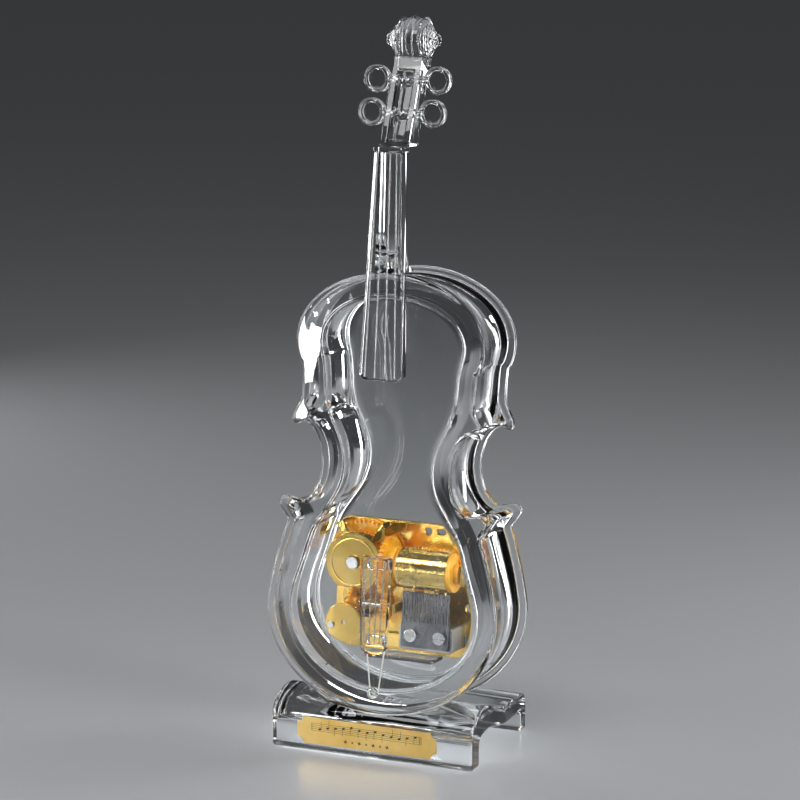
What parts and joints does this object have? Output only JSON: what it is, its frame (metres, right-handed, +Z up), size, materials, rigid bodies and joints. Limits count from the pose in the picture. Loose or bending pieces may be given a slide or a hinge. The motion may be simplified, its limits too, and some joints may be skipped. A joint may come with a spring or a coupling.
{
  "type": "violin-shaped music box",
  "caption": "Clear acrylic violin leaning in a bent clear stand, with a wind-up cylinder-and-comb musical movement seen inside the body and a winding key at the back.",
  "frame": {"origin": "centre of the overall box at floor level", "axes": "+Z up, -Y out of the front of the violin and stand, +X to the right as seen from the front"},
  "size_m": [0.079, 0.0521, 0.2334],
  "materials": {
    "clear_acrylic": "polished crystal-clear acrylic",
    "gold_plate": "brushed gold-coloured sheet",
    "string_wire": "fine bright wire",
    "tail_cord": "clear nylon cord",
    "gold_brass": "gold-plated, satin",
    "pin_brass": "bright pins",
    "spring_steel": "blued spring steel",
    "comb_steel": "ground dark steel",
    "grey_zinc": "grey die-cast",
    "bright_steel": "bright steel",
    "amber_plastic": "amber moulded plastic",
    "dark_plastic": "dark moulded plastic"
  },
  "bodies": {
    "case": {"stand": "clear_acrylic", "label_plate": "gold_plate", "front_shell": "clear_acrylic", "back_shell": "clear_acrylic", "neck": "clear_acrylic", "fingerboard": "clear_acrylic", "nut": "clear_acrylic", "pegbox": "clear_acrylic", "scroll": "clear_acrylic", "peg_upper_left": "clear_acrylic", "peg_upper_right": "clear_acrylic", "peg_lower_left": "clear_acrylic", "peg_lower_right": "clear_acrylic", "board_string_1": "string_wire", "board_string_2": "string_wire", "board_string_3": "string_wire", "board_string_4": "string_wire", "tailpiece": "clear_acrylic", "tail_string_1": "string_wire", "tail_string_2": "string_wire", "tail_string_3": "string_wire", "tail_string_4": "string_wire", "tail_loop": "tail_cord", "end_button": "clear_acrylic", "bedplate": "gold_brass", "spring_housing": "gold_brass", "mainspring": "spring_steel", "left_bearing": "gold_brass", "right_bearing": "gold_brass", "comb": "comb_steel", "comb_base": "grey_zinc", "comb_screw_left": "bright_steel", "comb_screw_right": "bright_steel", "governor_frame": "gold_brass", "governor_cap": "gold_brass", "governor_screw": "bright_steel", "wheel_post_left": "gold_brass", "wheel_post_right": "gold_brass", "case_screw_left": "bright_steel", "case_screw_right": "bright_steel", "case_screw_top": "bright_steel"},
    "key": {"arbor": "bright_steel", "winding_key": "gold_brass"},
    "drive": {"main_wheel": "amber_plastic"},
    "cylinder": {"cylinder_sleeve": "gold_brass", "tune_pins": "pin_brass", "cylinder_gear": "amber_plastic", "cylinder_cap": "amber_plastic", "cylinder_axle": "bright_steel"},
    "governor": {"governor_pinion": "amber_plastic", "governor_wheel": "amber_plastic", "governor_axle": "bright_steel"},
    "fly": {"worm_shaft": "bright_steel", "fly": "dark_plastic"}
  },
  "joints": [
    {"name": "key_wind", "type": "hinge", "parent": "case", "child": "key", "pos_m": [-0.014, 0.01279, 0.05694], "axis": [0, -0.9959, 0.0906], "range_deg": [0, 2160]},
    {"name": "cylinder_spin", "type": "hinge", "parent": "case", "child": "cylinder", "pos_m": [0.0113, -0.00474, 0.05854], "axis": [1, 0, 0], "continuous": true},
    {"name": "main_wheel_spin", "type": "hinge", "parent": "case", "child": "drive", "pos_m": [-0.014, 0.00572, 0.05759], "axis": [0, -0.9959, 0.0906], "continuous": true},
    {"name": "governor_spin", "type": "hinge", "parent": "case", "child": "governor", "pos_m": [-0.0146, -0.00592, 0.04559], "axis": [1, 0, 0], "continuous": true},
    {"name": "fly_spin", "type": "hinge", "parent": "case", "child": "fly", "pos_m": [-0.0146, -0.00644, 0.03987], "axis": [0, -0.9959, 0.0906], "continuous": true}
  ],
  "couplings": [
    {"joint": "main_wheel_spin", "follows": "cylinder_spin", "ratio": 0.75},
    {"joint": "governor_spin", "follows": "cylinder_spin", "ratio": -2.25},
    {"joint": "fly_spin", "follows": "cylinder_spin", "ratio": -36}
  ]
}
